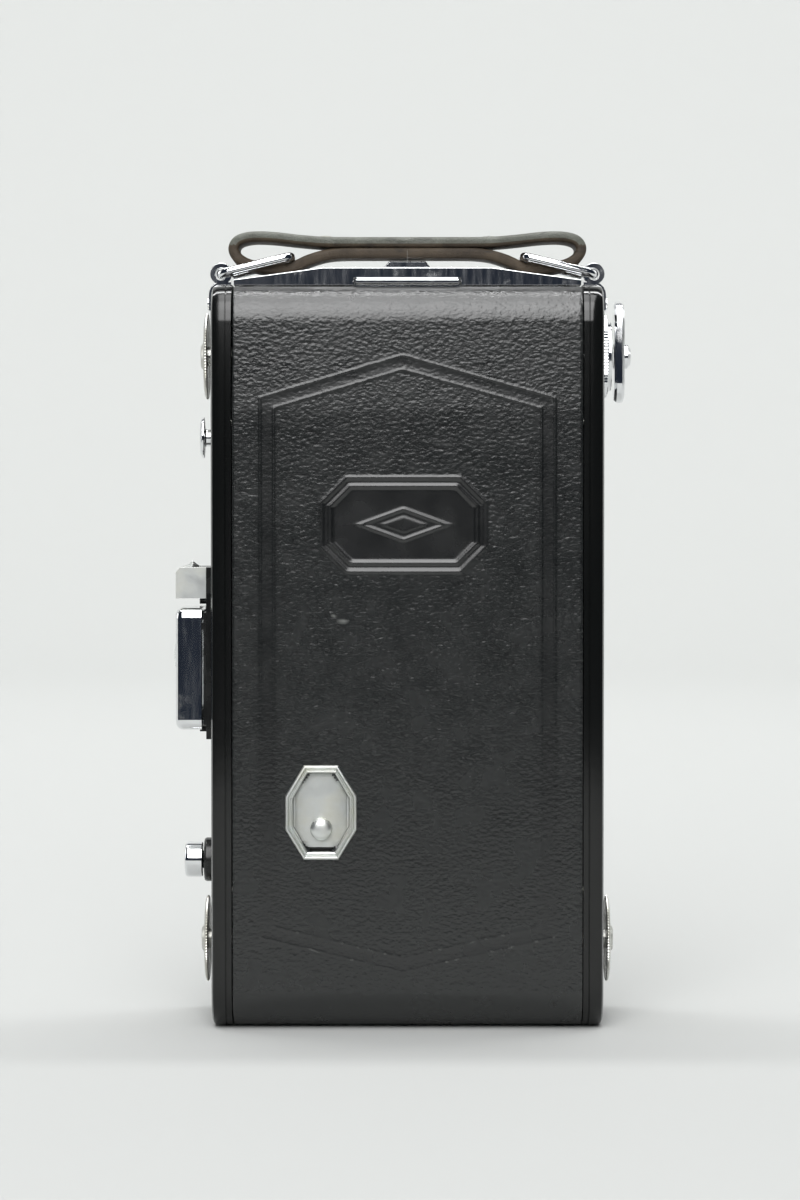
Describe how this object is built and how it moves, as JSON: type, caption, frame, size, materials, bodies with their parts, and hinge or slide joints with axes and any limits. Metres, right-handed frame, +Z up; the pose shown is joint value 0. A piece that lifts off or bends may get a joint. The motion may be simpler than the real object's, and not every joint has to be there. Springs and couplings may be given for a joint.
{
  "type": "folding roll film camera",
  "caption": "Folding roll-film camera for upright standing display, folded shut, with a hinged film door, drop bed with pleated bellows and lens, folding finder and leather strap.",
  "frame": {"origin": "middle of the flat foot at the hinge end that the camera stands on", "axes": "+Z up along the camera's length to the strap end, +X to the winding key's side, -Y out of the film door, +Y out of the bed"},
  "size_m": [0.0961, 0.0406, 0.1655],
  "materials": {
    "enamel": "glossy black enamel",
    "leatherette": "fine pebble grain, charcoal",
    "chrome": "polished",
    "nickel": "satin nickel plate, a little dull",
    "blackened": "matt black",
    "bellows_skin": "thin black pleated leather",
    "strap_hide": "worn strap leather, grey-green face, brown edges",
    "lens_glass": "polished",
    "ruby_glass": "deep red",
    "spool_wood": "plain turned wood with painted flanges"
  },
  "bodies": {
    "camera_body": {"side_cover_left": "enamel", "side_cover_right": "enamel", "lower_shell": "enamel", "upper_shell": "enamel", "lower_front_leather": "leatherette", "upper_front_leather": "leatherette", "inner_wall_left": "blackened", "inner_wall_right": "blackened", "film_gate": "blackened", "door_hinge_pin": "nickel", "bed_hinge_pin": "nickel", "tripod_bush": "chrome", "release_collar": "blackened", "latch_bridge": "chrome", "strap_lug_right": "nickel", "strap_lug_left": "nickel", "finder_base": "blackened"},
    "roller_lower": {"guide_roller_lower": "nickel"},
    "roller_upper": {"guide_roller_upper": "nickel"},
    "winder": {"take_up_spool": "spool_wood", "winding_shaft": "chrome", "winding_key": "chrome"},
    "knob_upper": {"spool_knob_upper": "nickel"},
    "knob_lower_left": {"spool_knob_lower_left": "nickel"},
    "knob_lower_right": {"spool_knob_lower_right": "nickel"},
    "release_button": {"shutter_release": "chrome"},
    "bed_catch": {"bed_button": "chrome"},
    "back_door": {"door_shell": "enamel", "door_leather": "leatherette", "latch_tongue": "chrome", "window_bezel": "chrome", "red_window": "ruby_glass", "pressure_spring": "nickel"},
    "window_cover": {"window_shutter": "nickel"},
    "film_pressure": {"pressure_plate": "blackened"},
    "door_latch": {"latch_slide": "chrome"},
    "ring_right": {"strap_ring_right": "chrome"},
    "ring_left": {"strap_ring_left": "chrome"},
    "strap": {"carry_strap": "strap_hide"},
    "finder_front": {"finder_front_frame": "chrome", "finder_front_lens": "lens_glass"},
    "finder_rear": {"finder_rear_frame": "chrome"},
    "bed": {"bed_panel": "enamel", "bed_leather": "leatherette", "foot_hinge": "chrome"},
    "foot": {"bed_foot": "chrome"},
    "link_right": {"strut_right": "blackened"},
    "link_left": {"strut_left": "blackened"},
    "brace_right": {"stay_right": "blackened"},
    "brace_left": {"stay_left": "blackened"},
    "lens_board": {"lens_standard": "enamel", "rear_cell": "blackened", "rear_lens": "lens_glass", "shutter_housing": "blackened", "bellows": "bellows_skin"},
    "speed_dial": {"speed_ring": "chrome"},
    "focus": {"focus_ring": "blackened", "front_lens": "lens_glass"},
    "cocking": {"cocking_lever": "chrome"},
    "aperture": {"aperture_lever": "chrome"}
  },
  "joints": [
    {"name": "roller_lower_spin", "type": "hinge", "parent": "camera_body", "child": "roller_lower", "pos_m": [0, -0.0128, 0.0284], "axis": [1, 0, 0], "continuous": true},
    {"name": "roller_upper_spin", "type": "hinge", "parent": "camera_body", "child": "roller_upper", "pos_m": [0, -0.0128, 0.1256], "axis": [1, 0, 0], "continuous": true},
    {"name": "winder_turn", "type": "hinge", "parent": "camera_body", "child": "winder", "pos_m": [0, -0.0015, 0.1395], "axis": [1, 0, 0], "continuous": true},
    {"name": "knob_upper_pull", "type": "slide", "parent": "camera_body", "child": "knob_upper", "axis": [-1, 0, 0], "range_m": [0, 0.004]},
    {"name": "knob_lower_left_pull", "type": "slide", "parent": "camera_body", "child": "knob_lower_left", "axis": [-1, 0, 0], "range_m": [0, 0.004]},
    {"name": "knob_lower_right_pull", "type": "slide", "parent": "camera_body", "child": "knob_lower_right", "axis": [1, 0, 0], "range_m": [0, 0.004]},
    {"name": "release_press", "type": "slide", "parent": "camera_body", "child": "release_button", "axis": [1, 0, 0], "range_m": [0, 0.0019], "stiffness_N_per_m": 300},
    {"name": "bed_button_press", "type": "slide", "parent": "camera_body", "child": "bed_catch", "axis": [1, 0, 0], "range_m": [0, 0.0014], "stiffness_N_per_m": 400},
    {"name": "door_swing", "type": "hinge", "parent": "camera_body", "child": "back_door", "pos_m": [0, -0.0082, 0.0017], "axis": [1, 0, 0], "range_deg": [0, 100]},
    {"name": "window_slide", "type": "slide", "parent": "back_door", "child": "window_cover", "axis": [0, 0, 1], "range_m": [0, 0.0088]},
    {"name": "pressure_float", "type": "slide", "parent": "back_door", "child": "film_pressure", "axis": [0, 1, 0], "range_m": [0, 0.0005], "stiffness_N_per_m": 400},
    {"name": "latch_move", "type": "slide", "parent": "camera_body", "child": "door_latch", "axis": [1, 0, 0], "range_m": [0, 0.0034], "stiffness_N_per_m": 300},
    {"name": "strap_lift", "type": "slide", "parent": "camera_body", "child": "strap", "axis": [0, 0, 1], "range_m": [0, 0.006]},
    {"name": "ring_right_swing", "type": "hinge", "parent": "camera_body", "child": "ring_right", "pos_m": [0.0389, 0, 0.1566], "axis": [0, 1, 0], "range_deg": [0, 26.48]},
    {"name": "ring_left_swing", "type": "hinge", "parent": "camera_body", "child": "ring_left", "pos_m": [-0.0389, 0, 0.1566], "axis": [0, -1, 0], "range_deg": [0, 26.48]},
    {"name": "finder_front_fold", "type": "hinge", "parent": "camera_body", "child": "finder_front", "pos_m": [-0.0435, 0.0103, 0.0742], "axis": [0, 0, -1], "range_deg": [0, 90]},
    {"name": "finder_rear_fold", "type": "hinge", "parent": "camera_body", "child": "finder_rear", "pos_m": [-0.0435, -0.0086, 0.0742], "axis": [0, 0, 1], "range_deg": [0, 90]},
    {"name": "bed_fold", "type": "hinge", "parent": "camera_body", "child": "bed", "pos_m": [0, 0.0174, 0.0274], "axis": [-1, 0, 0], "range_deg": [0, 90]},
    {"name": "foot_fold", "type": "hinge", "parent": "bed", "child": "foot", "pos_m": [0, 0.0197, 0.1185], "axis": [1, 0, 0], "range_deg": [0, 90]},
    {"name": "strut_right_turn", "type": "hinge", "parent": "camera_body", "child": "link_right", "pos_m": [0.0328, 0.014, 0.03], "axis": [-1, 0, 0], "range_deg": [0, 67.07]},
    {"name": "strut_left_turn", "type": "hinge", "parent": "camera_body", "child": "link_left", "pos_m": [-0.0328, 0.014, 0.03], "axis": [-1, 0, 0], "range_deg": [0, 67.07]},
    {"name": "stay_right_turn", "type": "hinge", "parent": "bed", "child": "brace_right", "pos_m": [0.0342, 0.0144, 0.0474], "axis": [1, 0, 0], "range_deg": [0, 107.29]},
    {"name": "stay_left_turn", "type": "hinge", "parent": "bed", "child": "brace_left", "pos_m": [-0.0342, 0.0144, 0.0474], "axis": [1, 0, 0], "range_deg": [0, 107.29]},
    {"name": "standard_travel", "type": "slide", "parent": "camera_body", "child": "lens_board", "axis": [0, 0.9762, -0.2169], "range_m": [0, 0.0924], "deforming": ["bellows"]},
    {"name": "speed_turn", "type": "hinge", "parent": "lens_board", "child": "speed_dial", "pos_m": [0, 0.007, 0.097], "axis": [0, 1, 0], "range_deg": [0, 150]},
    {"name": "focus_turn", "type": "hinge", "parent": "lens_board", "child": "focus", "pos_m": [0, 0.009, 0.097], "axis": [0, 1, 0], "range_deg": [0, 270]},
    {"name": "cocking_swing", "type": "hinge", "parent": "lens_board", "child": "cocking", "pos_m": [0, 0.0082, 0.097], "axis": [0, 1, 0], "range_deg": [0, 45], "stiffness_Nm_per_rad": 0.004},
    {"name": "aperture_swing", "type": "hinge", "parent": "lens_board", "child": "aperture", "pos_m": [0, 0.009, 0.097], "axis": [0, 1, 0], "range_deg": [-40, 40]}
  ],
  "couplings": [
    {"joint": "ring_right_swing", "follows": "strap_lift", "rad_per_m": 75.567},
    {"joint": "ring_left_swing", "follows": "strap_lift", "rad_per_m": 75.567},
    {"joint": "finder_rear_fold", "follows": "finder_front_fold", "ratio": 1},
    {"joint": "strut_right_turn", "follows": "bed_fold", "ratio": 0.74295},
    {"joint": "strut_left_turn", "follows": "bed_fold", "ratio": 0.74295},
    {"joint": "stay_right_turn", "follows": "bed_fold", "ratio": 1.1899},
    {"joint": "stay_left_turn", "follows": "bed_fold", "ratio": 1.1899},
    {"joint": "standard_travel", "follows": "bed_fold", "m_per_rad": 0.058693}
  ]
}
